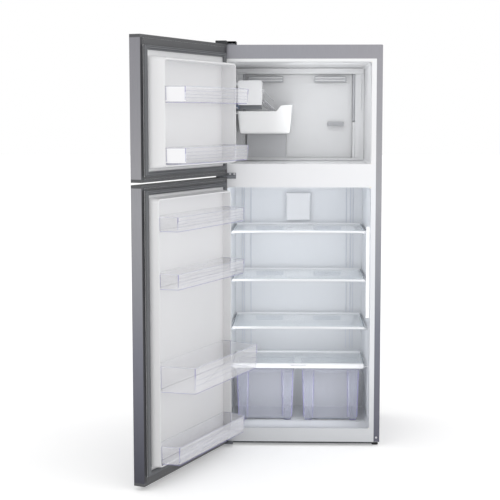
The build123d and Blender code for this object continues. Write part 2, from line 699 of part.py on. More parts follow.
# ---- write every sub-part ----
def main():
    os.makedirs("parts", exist_ok=True)
    screws = hinge_screws()
    cut = screws[0]
    for piece in screws[1:]:
        cut += piece

    save("cabinet_wrapper", cabinet_wrapper() - cut)
    save("back_panel", back_panel())
    save("base_plate", base_plate() - cut)
    save("cabinet_foam", cabinet_foam(cut))
    save("freezer_liner", freezer_liner())
    save("fridge_liner", fridge_liner())
    save("mullion_cover", mullion_cover() - cut)
    save("top_hinge_bracket", top_hinge_bracket() - cut)
    save("top_hinge_cover", top_hinge_cover())
    save("middle_hinge", middle_hinge() - cut)
    save("bottom_hinge", bottom_hinge() - cut)
    save("hinge_screws", group(*screws))

    save("freezer_rear_panel", freezer_rear_panel())
    save("evaporator_coil", evaporator_coil())
    save("defrost_heater", defrost_heater())
    save("fan_motor", fan_motor())
    save("evaporator_fan", evaporator_fan())
    save("ice_maker_housing", ice_maker_housing())
    save("ice_maker_tray", ice_maker_tray())
    save("ice_maker_arm", ice_maker_arm())
    save("ice_bin", ice_bin())

    save("duct_cover", duct_cover())
    save("led_strip", led_strip())
    for number, top in enumerate(SHELF_TOPS, 1):
        trim, glass = shelf(top)
        save(f"shelf_{number}_trim", trim)
        save(f"shelf_{number}_glass", glass)
    frame, glass = crisper_cover()
    save("crisper_cover_frame", frame)
    save("crisper_cover_glass", glass)
    save("crisper_left", crisper((-272, -18)))
    save("crisper_right", crisper((16, 270)))

    save_door("freezer_door", FREEZER_DOOR, FREEZER_POST, FREEZER_SEAL)
    save_door("fridge_door", FRIDGE_DOOR, FRIDGE_POST, FRIDGE_SEAL)
    save("freezer_bin_upper", swung(door_bin((1463, 1523), FREEZER_POST, 85, 63, 143)))
    save("freezer_bin_lower", swung(door_bin((1236, 1296), FREEZER_POST, 85, 63, 143)))
    for number, z in enumerate(((984, 1039), (766, 825)), 1):
        save(f"fridge_bin_{number}", swung(door_bin(z, FRIDGE_POST, 70, 57, 117)))
    save("fridge_bin_3", swung(door_bin((374, 474), FRIDGE_POST, 81, 57, 180)))
    save("fridge_bin_4", swung(door_bin((95, 165), FRIDGE_POST, 70, 57, 117)))

    save("compressor", compressor())
    save("compressor_grommets", compressor_grommets())
    save("relay_box", relay_box())
    save("drip_tray", drip_tray())
    save("condenser_coil", condenser_coil())
    save("refrigerant_tubes", refrigerant_tubes())
    save("cord_gland", cord_gland())

    for side, (x, y) in feet_spots().items():
        save(f"front_foot_{side}", front_foot(x, y))
    for side, (x, y) in roller_spots().items():
        save(f"rear_roller_{side}", rear_roller(x, y))


main()
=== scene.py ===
import json
import math
import bmesh
import bpy
from mathutils import Matrix, Vector

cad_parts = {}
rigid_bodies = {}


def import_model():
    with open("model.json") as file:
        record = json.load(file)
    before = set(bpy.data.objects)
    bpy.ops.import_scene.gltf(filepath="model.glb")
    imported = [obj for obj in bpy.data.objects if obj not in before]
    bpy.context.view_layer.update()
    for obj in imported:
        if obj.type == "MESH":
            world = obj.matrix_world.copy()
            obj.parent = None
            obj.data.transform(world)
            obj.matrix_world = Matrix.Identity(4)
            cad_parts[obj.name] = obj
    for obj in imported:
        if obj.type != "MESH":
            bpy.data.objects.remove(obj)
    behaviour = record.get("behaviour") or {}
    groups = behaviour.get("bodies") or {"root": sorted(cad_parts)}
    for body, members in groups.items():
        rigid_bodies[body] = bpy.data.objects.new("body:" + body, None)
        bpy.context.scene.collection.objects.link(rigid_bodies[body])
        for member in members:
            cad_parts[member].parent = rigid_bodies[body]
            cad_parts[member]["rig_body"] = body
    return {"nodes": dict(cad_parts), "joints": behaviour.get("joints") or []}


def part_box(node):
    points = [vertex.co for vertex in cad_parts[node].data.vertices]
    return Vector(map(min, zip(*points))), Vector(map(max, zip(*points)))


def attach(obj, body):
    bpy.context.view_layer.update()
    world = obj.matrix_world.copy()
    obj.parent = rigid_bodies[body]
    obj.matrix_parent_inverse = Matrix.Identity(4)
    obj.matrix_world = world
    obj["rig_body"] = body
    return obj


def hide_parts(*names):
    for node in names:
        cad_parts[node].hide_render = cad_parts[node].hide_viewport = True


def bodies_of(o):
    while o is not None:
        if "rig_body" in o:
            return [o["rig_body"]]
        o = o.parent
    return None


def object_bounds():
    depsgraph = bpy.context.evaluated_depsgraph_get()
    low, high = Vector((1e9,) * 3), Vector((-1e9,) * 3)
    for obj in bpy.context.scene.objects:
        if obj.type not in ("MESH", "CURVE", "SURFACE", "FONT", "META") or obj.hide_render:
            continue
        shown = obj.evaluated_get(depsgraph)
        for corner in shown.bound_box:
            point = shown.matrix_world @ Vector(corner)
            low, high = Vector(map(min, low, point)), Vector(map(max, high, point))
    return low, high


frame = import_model()
cad_low, cad_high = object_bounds()
JOINTS = {joint["name"]: joint for joint in frame["joints"]}

# ---------------------------------------------------------------- places taken from the frame
WRAP_LOW, WRAP_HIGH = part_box("cabinet_wrapper")
FRONT = WRAP_LOW.y  # the cabinet face that the doors close on
TOP = WRAP_HIGH.z


def mm(value):
    return value / 1000.0


def closing(door):
    """The turn that takes a point of an open door to where it is when the door is closed."""
    joint = JOINTS[door + "_hinge"]
    pivot = Vector(joint["pos_m"])
    turn = Matrix.Rotation(math.radians(joint["range_deg"][0]), 4, Vector(joint["axis"]))
    return Matrix.Translation(pivot) @ turn @ Matrix.Translation(-pivot)


CLOSE = {door: closing(door) for door in ("freezer_door", "fridge_door")}
OPEN = {door: matrix.inverted() for door, matrix in CLOSE.items()}


def closed_box(node, door):
    """Corners of a door's node in the closed position."""
    points = [CLOSE[door] @ v.co for v in frame["nodes"][node].data.vertices]
    low = Vector(min(p[i] for p in points) for i in range(3))
    high = Vector(max(p[i] for p in points) for i in range(3))
    return low, high


# ---------------------------------------------------------------- node helpers for materials
class Nodes:
    """A material's node tree with short calls for the nodes used here."""

    def __init__(self, name):
        self.material = bpy.data.materials.new(name)
        self.material.use_nodes = True
        self.tree = self.material.node_tree
        self.shader = self.tree.nodes["Principled BSDF"]
        self.coordinates = self.tree.nodes.new("ShaderNodeTexCoord")
        self.place = self.coordinates.outputs["Object"]

    def add(self, kind, **values):
        node = self.tree.nodes.new(kind)
        for key, value in values.items():
            setattr(node, key, value)
        return node

    def link(self, source, target):
        self.tree.links.new(source, target)

    def set(self, **values):
        for key, value in values.items():
            self.shader.inputs[key.replace("_", " ")].default_value = value

    def stretched(self, scale):
        """Object coordinates scaled differently along each axis."""
        mapping = self.add("ShaderNodeMapping")
        mapping.inputs["Scale"].default_value = scale
        self.link(self.place, mapping.inputs["Vector"])
        return mapping.outputs["Vector"]

    def noise(self, scale, detail=3.0, stretch=(1, 1, 1), roughness=0.5):
        node = self.add("ShaderNodeTexNoise")
        node.inputs["Scale"].default_value = scale
        node.inputs["Detail"].default_value = detail
        node.inputs["Roughness"].default_value = roughness
        self.link(self.stretched(stretch), node.inputs["Vector"])
        return node.outputs["Fac"]

    def spread(self, value, low, high, start=0.3, end=0.7):
        """A value mapped from a start-to-end range to a low-to-high one."""
        node = self.add("ShaderNodeMapRange")
        node.inputs["From Min"].default_value = start
        node.inputs["From Max"].default_value = end
        node.inputs["To Min"].default_value = low
        node.inputs["To Max"].default_value = high
        self.link(value, node.inputs["Value"])
        return node.outputs["Result"]

    def ramp(self, value, *stops):
        node = self.add("ShaderNodeValToRGB")
        elements = node.color_ramp.elements
        while len(elements) < len(stops):
            elements.new(0.5)
        for element, (position, colour) in zip(elements, stops):
            element.position = position
            element.color = (*colour, 1.0)
        self.link(value, node.inputs["Fac"])
        return node.outputs["Color"]

    def times(self, first, second):
        """Two colours multiplied."""
        node = self.add("ShaderNodeMix", data_type="RGBA", blend_type="MULTIPLY")
        node.inputs["Factor"].default_value = 1.0
        self.link(first, node.inputs["A"])
        self.link(second, node.inputs["B"])
        return node.outputs["Result"]

    def bump(self, value, strength, distance):
        node = self.add("ShaderNodeBump")
        node.inputs["Strength"].default_value = strength
        node.inputs["Distance"].default_value = distance
        self.link(value, node.inputs["Height"])
        self.link(node.outputs["Normal"], self.shader.inputs["Normal"])

    def height(self):
        """The object's own Z coordinate."""
        split = self.add("ShaderNodeSeparateXYZ")
        self.link(self.place, split.inputs["Vector"])
        return split.outputs["Z"]


def shade(colour, factor):
    return tuple(min(1.0, channel * factor) for channel in colour)


def plastic(name, colour, roughness=0.35, grain=0.04, scale=900.0, depth=0.00004, painted_height_shade=()):
    """Moulded plastic with faint tone changes and a fine surface grain. fall gives (height share, tone)
    stops of painted shade that darken a liner towards the floor."""
    n = Nodes(name)
    tone = n.ramp(n.noise(2.2, 2.0), (0.3, shade(colour, 1 - grain)), (0.7, shade(colour, 1 + grain * 0.5)))
    # painted shade: the tone is multiplied down towards the floor by the height stops
    if painted_height_shade:
        height = n.spread(n.height(), 0.0, 1.0, 0.0, TOP)
        tone = n.times(tone, n.ramp(height, *[(share, (level, level, level)) for share, level in painted_height_shade]))
    n.link(tone, n.shader.inputs["Base Color"])
    n.link(n.spread(n.noise(14.0, 3.0), roughness * 0.94, roughness * 1.06), n.shader.inputs["Roughness"])
    n.bump(n.noise(scale, 2.0), 0.25, depth)
    return n.material


def brushed(name, colour, stretch, roughness=0.34, metal=0.9, fine=900.0):
    """Brushed sheet metal with long fine scratches."""
    n = Nodes(name)
    lines = n.noise(fine, 4.0, stretch, 0.7)
    n.link(n.ramp(lines, (0.25, shade(colour, 0.86)), (0.75, shade(colour, 1.1))),
           n.shader.inputs["Base Color"])
    n.link(n.spread(n.noise(3.0, 2.0), roughness * 0.9, roughness * 1.12), n.shader.inputs["Roughness"])
    n.bump(lines, 0.2, 0.00003)
    n.set(Metallic=metal, Anisotropic=0.4)
    return n.material


def steel_sheet(name, tone=1.0, inward=None, band=(0.095, 0.095, 0.10), low=1.0, high=1.0):
    """Satin steel with vertical brushing, darker towards the floor as painted reflection and shade. A door's
    inner fold is dark:
    inward is the way that the fold faces. low and high scale the painted tone at the floor and at the top."""
    n = Nodes(name)
    lines = n.noise(900.0, 4.0, (1.0, 1.0, 0.02), 0.7)
    cloud = n.noise(1.7, 2.0)
    height = n.spread(n.height(), 0.0, 1.0, 0.0, TOP)
    # painted reflection and shade: the base colour darkens towards the floor, scaled by low and high
    painted_height_shade = n.ramp(height,
                  (0.0, shade((0.125, 0.125, 0.155), tone * low)),
                  (0.3, shade((0.215, 0.22, 0.26), tone)),
                  (0.45, shade((0.31, 0.315, 0.34), tone)),
                  (0.62, shade((0.385, 0.385, 0.405), tone)),
                  (1.0, shade((0.41, 0.405, 0.435), tone * high)))
    streak = n.ramp(lines, (0.25, (0.90, 0.90, 0.90)), (0.75, (1.06, 1.06, 1.06)))
    drift = n.ramp(cloud, (0.35, (0.93, 0.95, 0.97)), (0.65, (1.03, 1.02, 1.02)))
    colour = n.times(n.times(painted_height_shade, streak), drift)
    if inward is not None:
        facing = n.add("ShaderNodeVectorMath", operation="DOT_PRODUCT")
        n.link(n.coordinates.outputs["Normal"], facing.inputs[0])
        facing.inputs[1].default_value = inward
        fold = n.add("ShaderNodeMix", data_type="RGBA")
        n.link(n.spread(facing.outputs["Value"], 0.0, 1.0, 0.6, 0.8), fold.inputs["Factor"])
        n.link(colour, fold.inputs["A"])
        n.link(n.ramp(cloud, (0.3, shade(band, 0.92)), (0.7, shade(band, 1.06))), fold.inputs["B"])
        colour = fold.outputs["Result"]
    n.link(colour, n.shader.inputs["Base Color"])
    n.link(n.spread(cloud, 0.36, 0.44), n.shader.inputs["Roughness"])
    n.bump(lines, 0.2, 0.00003)
    n.set(Metallic=0.85, Anisotropic=0.4)
    return n.material


def painted(name, colour, roughness=0.4, metal=0.0, peel=220.0, depth=0.00012):
    """Sprayed paint with a slight orange peel."""
    n = Nodes(name)
    n.link(n.ramp(n.noise(5.0, 3.0), (0.3, shade(colour, 0.85)), (0.7, shade(colour, 1.1))),
           n.shader.inputs["Base Color"])
    n.link(n.spread(n.noise(9.0, 4.0), roughness * 0.8, roughness * 1.2), n.shader.inputs["Roughness"])
    n.bump(n.noise(peel, 2.0), 0.3, depth)
    n.set(Metallic=metal)
    return n.material


def see_through(name, colour, face, edge, roughness=0.12, blend=0.35, tone=0.06):
    """Clear plastic or glass: mostly open face on, and fuller where it is seen at a slant."""
    n = Nodes(name)
    n.link(n.ramp(n.noise(6.0, 2.0), (0.3, shade(colour, 1 - tone)), (0.7, colour)),
           n.shader.inputs["Base Color"])
    weight = n.add("ShaderNodeLayerWeight")
    weight.inputs["Blend"].default_value = blend
    n.link(n.spread(weight.outputs["Facing"], face, edge, 0.0, 1.0), n.shader.inputs["Alpha"])
    n.link(n.spread(n.noise(20.0, 2.0), roughness * 0.8, roughness * 1.2), n.shader.inputs["Roughness"])
    n.set(IOR=1.45)
    n.material.surface_render_method = "BLENDED"
    return n.material


def glowing(name, colour, strength):
    """A lit diffuser with a row of slightly brighter spots."""
    n = Nodes(name)
    spots = n.add("ShaderNodeTexWave", wave_type="BANDS", bands_direction="Z")
    spots.inputs["Scale"].default_value = 9.0
    n.link(n.place, spots.inputs["Vector"])
    n.link(n.ramp(spots.outputs["Fac"], (0.0, shade(colour, 0.93)), (1.0, colour)),
           n.shader.inputs["Emission Color"])
    n.set(Emission_Strength=strength, Roughness=0.3)
    return n.material


# ---------------------------------------------------------------- materials
INWARD = OPEN["fridge_door"].to_3x3() @ Vector((0, 1, 0))
# the shell's lower top tone and its darkening towards the floor are painted reflection and shade
STEEL = steel_sheet("brushed_steel_shell", high=0.87)
# the doors get a darker copy of the same steel, lower still at the floor and top: painted shade
DOOR_STEEL = steel_sheet("brushed_steel_door", 0.84, INWARD, (0.078, 0.079, 0.084), low=0.62, high=0.74)
GALVANISED = painted("galvanised_sheet", (0.50, 0.52, 0.53), 0.5, 0.6, 60.0)
FOAM = plastic("insulating_foam", (0.85, 0.76, 0.50), 0.9, 0.1, 300.0, 0.0006)
# the liner's darkening towards the floor is painted shade
LINER = plastic("white_liner", (0.845, 0.862, 0.89), 0.36, 0.015,
                painted_height_shade=((0.0, 0.66), (0.05, 0.72), (0.2, 0.90), (0.45, 0.95), (0.62, 1.0)))
FREEZER_WHITE = plastic("freezer_white", (0.86, 0.865, 0.875), 0.34, 0.015)
# the door liner's darkening towards the floor is painted shade
DOOR_WHITE = plastic("door_liner_white", (0.80, 0.80, 0.81), 0.36, 0.015,
                     painted_height_shade=((0.0, 0.80), (0.25, 0.86), (0.6, 0.98)))
WHITE = plastic("white_trim", (0.86, 0.865, 0.885), 0.3, 0.015)
HOUSING_WHITE = plastic("ice_maker_white", (0.92, 0.925, 0.94), 0.35, 0.015)
BRIGHT_WHITE = plastic("bright_white", (0.90, 0.905, 0.91), 0.3, 0.01)
# a darker white whose tone is painted shade for the recess under the ice bin
RECESS_SHADE = plastic("recess_painted_shade", (0.72, 0.725, 0.745), 0.45, 0.02)
# darker than the liner: painted shade along the back wall's ribs
RIB_SHADE = plastic("rib_painted_shade", (0.72, 0.745, 0.80), 0.35, 0.015)
# painted shade inside the shelf vents
VENT_SHADE = plastic("vent_painted_shade", (0.46, 0.49, 0.56), 0.5, 0.03)
# painted shadow for vent openings, the slots beside the freezer panel and the duct cover's side slots; two
# ice chute bars use it too
SHADOW_GREY = plastic("recess_grey", (0.56, 0.565, 0.59), 0.5, 0.04)
DARK = plastic("dark_plastic", (0.03, 0.032, 0.036), 0.45, 0.1, 700.0)
SLATE = plastic("slate_plastic", (0.10, 0.125, 0.18), 0.4, 0.08, 700.0)
TRAY_GREY = plastic("tray_grey", (0.33, 0.34, 0.37), 0.4, 0.05, 700.0)
CAP_GREY = plastic("door_cap_grey", (0.068, 0.070, 0.074), 0.42, 0.06)
RUBBER = plastic("black_rubber", (0.025, 0.025, 0.026), 0.7, 0.1, 500.0, 0.0001)
SEAL = plastic("grey_seal", (0.14, 0.145, 0.155), 0.55, 0.05, 600.0, 0.00006)
HINGE = painted("hinge_steel", (0.20, 0.21, 0.23), 0.38, 0.8)
ZINC = brushed("zinc_screws", (0.62, 0.62, 0.64), (1, 1, 1), 0.3, 1.0)
ALUMINIUM = brushed("bare_aluminium", (0.72, 0.73, 0.74), (0.05, 1, 1), 0.35, 1.0)
BLACK_PAINT = painted("compressor_paint", (0.018, 0.018, 0.02), 0.35)
COPPER = brushed("copper_tube", (0.72, 0.36, 0.2), (1, 1, 0.1), 0.28, 1.0)
LIGHT = glowing("led_diffuser", (1.0, 1.0, 1.0), 0.50)
SHELF_GLASS = see_through("shelf_glass", (0.84, 0.90, 0.94), 0.10, 0.42, 0.06)
GLASS_EDGE = plastic("glass_edge", (0.16, 0.19, 0.22), 0.25, 0.1)
CLEAR = see_through("clear_plastic", (0.93, 0.93, 0.96), 0.09, 0.34, 0.12)
HAZY = see_through("hazy_plastic", (0.90, 0.90, 0.94), 0.16, 0.42, 0.14)
PILLAR_BLUE = see_through("crisper_pillar_plastic", (0.60, 0.62, 0.74), 0.22, 0.46, 0.14)
CLEAR_BLUE = see_through("crisper_plastic", (0.76, 0.78, 0.88), 0.14, 0.45, 0.12)
BIN_END = plastic("bin_end_white", (0.84, 0.84, 0.855), 0.3, 0.01)
EDGE = see_through("moulded_edge", (0.40, 0.38, 0.66), 0.45, 0.85, 0.15)
SOFT_EDGE = see_through("moulded_edge_pale", (0.66, 0.66, 0.80), 0.35, 0.75, 0.15)

NODE_MATERIALS = {
    STEEL: ["cabinet_wrapper"],
    GALVANISED: ["back_panel", "base_plate", "defrost_heater"],
    FOAM: ["cabinet_foam", "freezer_door_foam", "fridge_door_foam"],
    LINER: ["fridge_liner"],
    FREEZER_WHITE: ["freezer_liner", "freezer_rear_panel"],
    DOOR_WHITE: ["freezer_door_liner", "fridge_door_liner"],
    WHITE: ["mullion_cover", "duct_cover", "evaporator_fan", "crisper_cover_frame"]
    + [f"shelf_{n}_trim" for n in (1, 2, 3)],
    BRIGHT_WHITE: ["ice_bin"],
    HOUSING_WHITE: ["ice_maker_housing"],
    DARK: ["top_hinge_cover", "relay_box", "cord_gland", "drip_tray"],
    TRAY_GREY: ["ice_maker_tray"],
    CAP_GREY: ["freezer_door_caps", "fridge_door_caps"],
    RUBBER: ["compressor_grommets", "front_foot_left", "front_foot_right"]
    + ["rear_roller_left", "rear_roller_right"],
    SEAL: ["freezer_door_gasket", "fridge_door_gasket"],
    HINGE: ["top_hinge_bracket", "middle_hinge", "bottom_hinge"],
    ZINC: ["hinge_screws", "fan_motor", "ice_maker_arm"],
    ALUMINIUM: ["evaporator_coil"],
    BLACK_PAINT: ["compressor", "condenser_coil"],
    COPPER: ["refrigerant_tubes"],
    LIGHT: ["led_strip"],
    DOOR_STEEL: ["freezer_door_skin", "fridge_door_skin"],
    SHELF_GLASS: ["crisper_cover_glass"] + [f"shelf_{n}_glass" for n in (1, 2, 3)],
    CLEAR_BLUE: ["crisper_left", "crisper_right"],
    CLEAR: ["freezer_bin_upper", "freezer_bin_lower"] + [f"fridge_bin_{n}" for n in (1, 2, 3, 4)],
}


def dress_nodes():
    """Give every CAD node its material."""
    for material, nodes in NODE_MATERIALS.items():
        for node in nodes:
            mesh = frame["nodes"][node].data
            mesh.materials.clear()
            mesh.materials.append(material)


# ---------------------------------------------------------------- mesh builders
def arc_outline(corners, steps=5):
    """A closed counter-clockwise outline from (x, y, radius) corners."""
    points = []
    for i, (x, y, radius) in enumerate(corners):
        here = Vector((x, y))
        before = (Vector(corners[i - 1][:2]) - here).normalized()
        after = (Vector(corners[(i + 1) % len(corners)][:2]) - here).normalized()
        half = before.angle(after) / 2
        if radius <= 0 or half > 1.56:
            points.append(here)
            continue
        centre = here + (before + after).normalized() * (radius / math.sin(half))
        reach = radius / math.tan(half)
        start, end = here + before * reach - centre, here + after * reach - centre
        sweep = math.pi - 2 * half
        for k in range(steps + 1):
            t = k / steps
            spoke = start * math.sin((1 - t) * sweep) + end * math.sin(t * sweep)
            points.append(centre + spoke / math.sin(sweep))
    return points


def rectangle(x0, x1, y0, y1, radius, steps=5):
    return arc_outline([(x0, y0, radius), (x1, y0, radius), (x1, y1, radius), (x0, y1, radius)], steps)


def inset(points, distance):
    """The outline moved inwards by a distance."""
    moved = []
    for i, here in enumerate(points):
        first = (here - points[i - 1]).normalized()
        second = (points[(i + 1) % len(points)] - here).normalized()
        left = Vector((-first.y, first.x))
        right = Vector((-second.y, second.x))
        moved.append(here + (left + right) * (distance / max(0.3, 1 + left.dot(right))))
    return moved


def divided(points, step):
    """The outline with its long runs cut into short ones."""
    result = []
    for i, here in enumerate(points):
        after = points[(i + 1) % len(points)]
        count = max(1, round((after - here).length / step))
        result += [here.lerp(after, k / count) for k in range(count)]
    return result


AXES = {"X": (1, 2, 0), "Y": (2, 0, 1), "Z": (0, 1, 2)}  # the outline's two axes, then the drawn one
PER_CORNER = 6  # points that a rounded corner adds to an outline


def ring_at(outline, axis, along):
    """The outline stood across an axis at a place along it."""
    first, second, third = AXES[axis]
    ring = []
    for point in outline:
        place = Vector((0, 0, 0))
        place[first], place[second], place[third] = point.x, point.y, along
        ring.append(place)
    return ring


def skin(bm, rings, slot=0, closed=False, paint=None):
    """Faces between rings of equal length, capped unless the rings close on themselves."""
    rows = [[bm.verts.new(point) for point in ring] for ring in rings]
    pairs = list(zip(rows, rows[1:])) + ([(rows[-1], rows[0])] if closed else [])
    faces = []
    for low, high in pairs:
        for i in range(len(low)):
            j = (i + 1) % len(low)
            faces.append(bm.faces.new((low[i], low[j], high[j], high[i])))
    if not closed:
        faces.append(bm.faces.new(list(reversed(rows[0]))))
        faces.append(bm.faces.new(rows[-1]))
    for face in faces:
        face.material_index = slot if paint is None else paint(face.calc_center_median())


def prism(bm, outline, axis, start, end, edge, slot=0, steps=3, paint=None):
    """An outline drawn out along an axis, with rounded ends."""
    turns = [math.pi / 2 * k / steps for k in range(steps + 1)]

    def level(turn, along):
        return ring_at(inset(outline, edge * (1 - math.sin(turn))), axis, along)

    rings = [level(turn, start + edge * (1 - math.cos(turn))) for turn in turns]
    rings += [level(turn, end - edge * (1 - math.cos(turn))) for turn in reversed(turns)]
    skin(bm, rings, slot, paint=paint)


def block(bm, low, high, radius, edge, slot=0, axis="Z", paint=None):
    """A box with rounded corners and edges."""
    first, second, third = AXES[axis]
    outline = rectangle(low[first], high[first], low[second], high[second], radius)
    prism(bm, outline, axis, low[third], high[third], edge, slot, paint=paint)


def boxes(bm, spans, radius, edge, slot=0):
    """Rounded blocks, each given as (x0, x1), (y0, y1), (z0, z1)."""
    for xs, ys, zs in spans:
        block(bm, Vector((xs[0], ys[0], zs[0])), Vector((xs[1], ys[1], zs[1])), radius, edge, slot)


def rod(bm, points, radius, slot=0, closed=False, sides=8):
    """A round bar along points, mitred at its bends."""
    rings = []
    count = len(points)
    side = None
    for i, here in enumerate(points):
        before = points[i - 1] if closed or i else here
        after = points[(i + 1) % count] if closed or i + 1 < count else here
        way = (after - before).normalized()
        if side is None:
            side = way.orthogonal().normalized()
        side = (side - way * side.dot(way)).normalized()
        other = way.cross(side)
        turns = [2 * math.pi * k / sides for k in range(sides)]
        rings.append([here + (side * math.cos(a) + other * math.sin(a)) * radius for a in turns])
    skin(bm, rings, slot, closed)


def tub(bm, outline, low, high, wall, draft, floor, bead, slots=(0, 1), top=None, paint=None,
        plain_back=lambda centre: False):
    """An open container: drafted walls, a rounded floor edge and a rolled rim."""
    steps = 4
    top = top or (lambda point: high)

    def level(distance, z):
        return ring_at(inset(outline, distance), "Z", z)

    def rim_level(distance, below):
        points = inset(outline, distance)
        return [Vector((p.x, p.y, top(q) - below)) for p, q in zip(points, outline)]

    turns = [math.pi / 2 * k / steps for k in range(steps + 1)]
    outer = [level(draft + floor * (1 - math.sin(a)), low + floor * (1 - math.cos(a))) for a in turns]
    rim = [rim_level(0, bead * 2), rim_level(-bead, bead * 1.7), rim_level(-bead, bead * 0.5),
           rim_level(-bead * 0.5, 0), rim_level(wall * 0.6, 0), rim_level(wall, bead * 0.5)]
    inner = [level(wall + draft + floor * (1 - math.sin(a)), low + wall + floor * (1 - math.cos(a)))
             for a in reversed(turns)]

    def tinted(centre):
        if centre.z > top(Vector((centre.x, centre.y))) - bead * 1.9 and not plain_back(centre):
            return slots[1]
        return paint(centre) if paint else slots[0]

    skin(bm, outer + rim + inner, paint=tinted)


def finish_piece(name, bm, materials, body, nodes=(), turn=None, angle=35):
    """Make the object, put it on its body and let it stand for its CAD nodes."""
    bmesh.ops.recalc_face_normals(bm, faces=bm.faces)
    if turn is not None:
        bm.transform(turn)
    mesh = bpy.data.meshes.new(name)
    for material in materials:
        mesh.materials.append(material)
    bm.to_mesh(mesh)
    bm.free()
    mesh.polygons.foreach_set("use_smooth", [True] * len(mesh.polygons))
    mesh.set_sharp_from_angle(angle=math.radians(angle))
    piece = bpy.data.objects.new(name, mesh)
    bpy.context.collection.objects.link(piece)
    piece.modifiers.new("flat_faces", "WEIGHTED_NORMAL").keep_sharp = True
    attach(piece, body)
    if nodes:
        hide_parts(*nodes)
    return piece


def body_of(node):
    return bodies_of(frame["nodes"][node])[0]


# ---------------------------------------------------------------- door bins
BINS = {  # door, depth of the straight part of the ends, taper of the front, floor radius, white end
    "freezer_bin_upper": ("freezer_door", 60.5, 22, 6, True),
    "freezer_bin_lower": ("freezer_door", 60.5, 22, 6, True),
    "fridge_bin_1": ("fridge_door", 33.5, 13, 6, False),
    "fridge_bin_2": ("fridge_door", 33.5, 13, 6, False),
    "fridge_bin_3": ("fridge_door", 33.5, 24, 8, False),
    "fridge_bin_4": ("fridge_door", 33.5, 13, 8, False),
}


def make_bin(node):
    door, straight, taper, floor, white = BINS[node]
    low, high = closed_box(node, door)
    middle = (low.x + high.x) / 2
    wide = (high.x - low.x) / 2
    narrow = wide - mm(taper)
    knee = low.y + mm(straight)
    corners = [(middle - wide, low.y, mm(3)), (middle + wide, low.y, mm(3)),
               (middle + wide, knee, mm(20)), (middle + narrow, high.y, mm(12)),
               (middle - narrow, high.y, mm(12)), (middle - wide, knee, mm(20))]
    outline = arc_outline(corners)
    draft, wall, bead = mm(2.5), mm(2.2), mm(1.1)
    tall = high.z - low.z

    def paint(centre):
        if white and centre.x > middle + narrow - mm(4) and centre.z > low.z + mm(3):
            return 3
        return 0

    bm = bmesh.new()
    tub(bm, outline, low.z, high.z, wall, draft, mm(floor), bead, (0, 1), paint=paint,
        plain_back=lambda centre: centre.y < low.y + mm(4))
    past_back = 2 * PER_CORNER  # the two corners against the door come first
    last = len(outline[past_back:]) - 1
    knee_point, bend = 3, 8  # places along the front run: mid knee, and mid front corner

    def along_front(height, distance):
        z = low.z + tall * height
        lean = draft * (1 - height)
        return ring_at(inset(outline, lean + distance)[past_back:], "Z", z)

    for height in (0.30, 0.5, 0.72):
        rod(bm, along_front(height, 0.0)[bend:-bend], mm(0.6), 1)
    rod(bm, along_front(0.0, mm(floor) * 0.3), mm(0.9), 2)
    for i in (knee_point, last - knee_point, bend, last - bend):
        corner = [along_front(t, 0.0)[i] for t in (0.14, 0.5, 0.97)]
        rod(bm, corner, mm(0.8), 2)
    for i in (bend, last - bend):
        rod(bm, [along_front(t, -mm(0.4))[i] for t in (0.62, 0.97)], mm(1.6), 2)
    back_edge = [Vector((middle + wide - draft * 0.6, low.y + mm(2), low.z + tall * t)) for t in (0.1, 0.97)]
    rod(bm, back_edge, mm(0.8), 2)
    wall_look = HAZY if node == "fridge_bin_4" else CLEAR
    finish_piece(node + "_tub", bm, [wall_look, SOFT_EDGE, EDGE, BIN_END], body_of(node),
                 [node], OPEN[door])


# ---------------------------------------------------------------- crispers and shelves
def make_crisper(side):
    """A clear drawer with a set-back front between two corner pillars."""
    node = "crisper_" + side
    low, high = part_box(node)
    x0, x1 = low.x, high.x
    front, back = low.y + mm(6), high.y
    pillar, deep, out = mm(50), mm(9), mm(4)
    corners = [(x0, front, mm(14)), (x0 + pillar, front, mm(8)), (x0 + pillar + out, front + deep, mm(5)),
               (x1 - pillar - out, front + deep, mm(5)), (x1 - pillar, front, mm(8)), (x1, front, mm(14)),
               (x1, back, mm(14)), (x0, back, mm(14))]
    outline = arc_outline(corners)
    draft = mm(9)
    bm = bmesh.new()

    def paint(centre):
        near_side = min(centre.x - x0, x1 - centre.x) < pillar
        return 3 if near_side and centre.y < front + mm(26) else 0

    tub(bm, outline, low.z, high.z, mm(2.6), draft, mm(14), mm(1.4), (0, 1), paint=paint)
    tall = high.z - low.z

    def line(index, start, end, radius, slot):
        path = []
        for k in range(9):
            t = start + (end - start) * k / 8
            point = inset(outline, draft * (1 - t))[index]
            path.append(Vector((point.x, point.y, low.z + tall * t)))
        rod(bm, path, mm(radius), slot)

    half_edges = ((1.9, 2), (1.3, 1), (1.2, 2))  # radius and slot of the edge lines, outside to middle
    for corner, (radius, slot) in enumerate(half_edges + half_edges[::-1]):
        line(corner * PER_CORNER + 2, 0.07, 0.97, radius, slot)
    for corner in (0, 1, 4, 5):
        line(corner * PER_CORNER + 4, 0.07, 0.97, 0.7, 1)
    base = inset(outline, draft + mm(5))
    for first, last in ((0, 2 * PER_CORNER), (4 * PER_CORNER, 6 * PER_CORNER)):
        rod(bm, [Vector((p.x, p.y, low.z + mm(2.5))) for p in base[first:last]], mm(1.2), 2)
    grip = rectangle(low.y, front + mm(4), high.z - mm(14), high.z - mm(1), mm(3.5))
    prism(bm, grip, "X", x0 + mm(5), x1 - mm(5), mm(2), 0)
    inner = inset(outline, draft + mm(12))
    rod(bm, [Vector((p.x, p.y, low.z + mm(4.2))) for p in inner], mm(0.8), 1, closed=True)
    finish_piece(node + "_drawer", bm, [CLEAR_BLUE, SOFT_EDGE, EDGE, PILLAR_BLUE], body_of(node),
                 [node])


